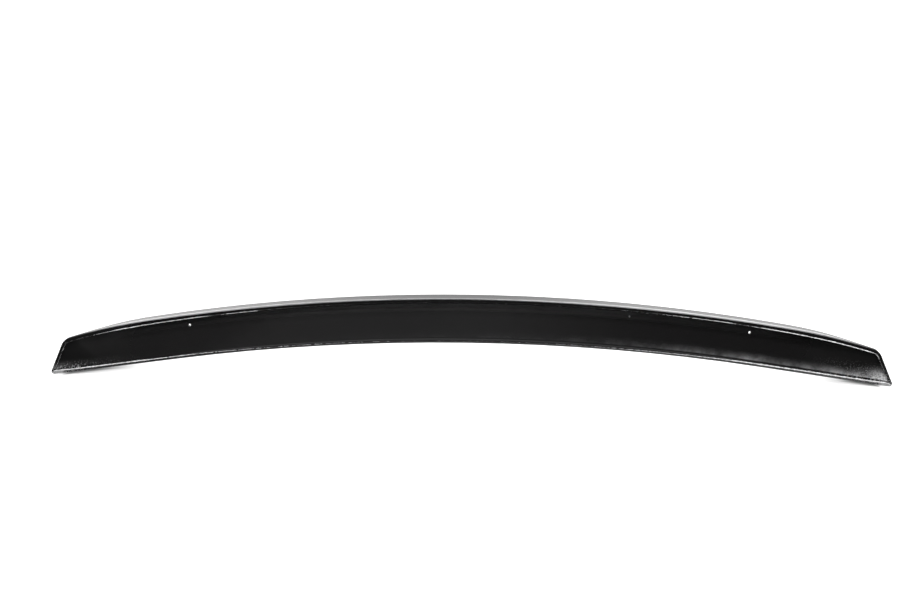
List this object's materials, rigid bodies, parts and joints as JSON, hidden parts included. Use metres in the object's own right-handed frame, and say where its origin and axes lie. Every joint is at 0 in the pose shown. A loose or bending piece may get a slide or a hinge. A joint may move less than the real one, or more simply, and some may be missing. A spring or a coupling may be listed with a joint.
{
  "type": "car rear spoiler",
  "caption": "Long arched boot-lid lip spoiler, a one-piece gloss plastic shell with a concave ramp, a raised rear lip that sinks towards slanted ends, and a flat bonding rim round its open side.",
  "frame": {"origin": "at mid-span, in the middle of the bonding rim along the leading edge", "axes": "-Y out of the open side, square to the bonding rim; +Z along the rim from the leading edge to the trailing edge; +X along the span"},
  "size_m": [1.2474, 0.0298, 0.1238],
  "materials": {
    "gloss_black": "gloss"
  },
  "bodies": {
    "root": {"spoiler_shell": "gloss_black"}
  },
  "joints": []
}
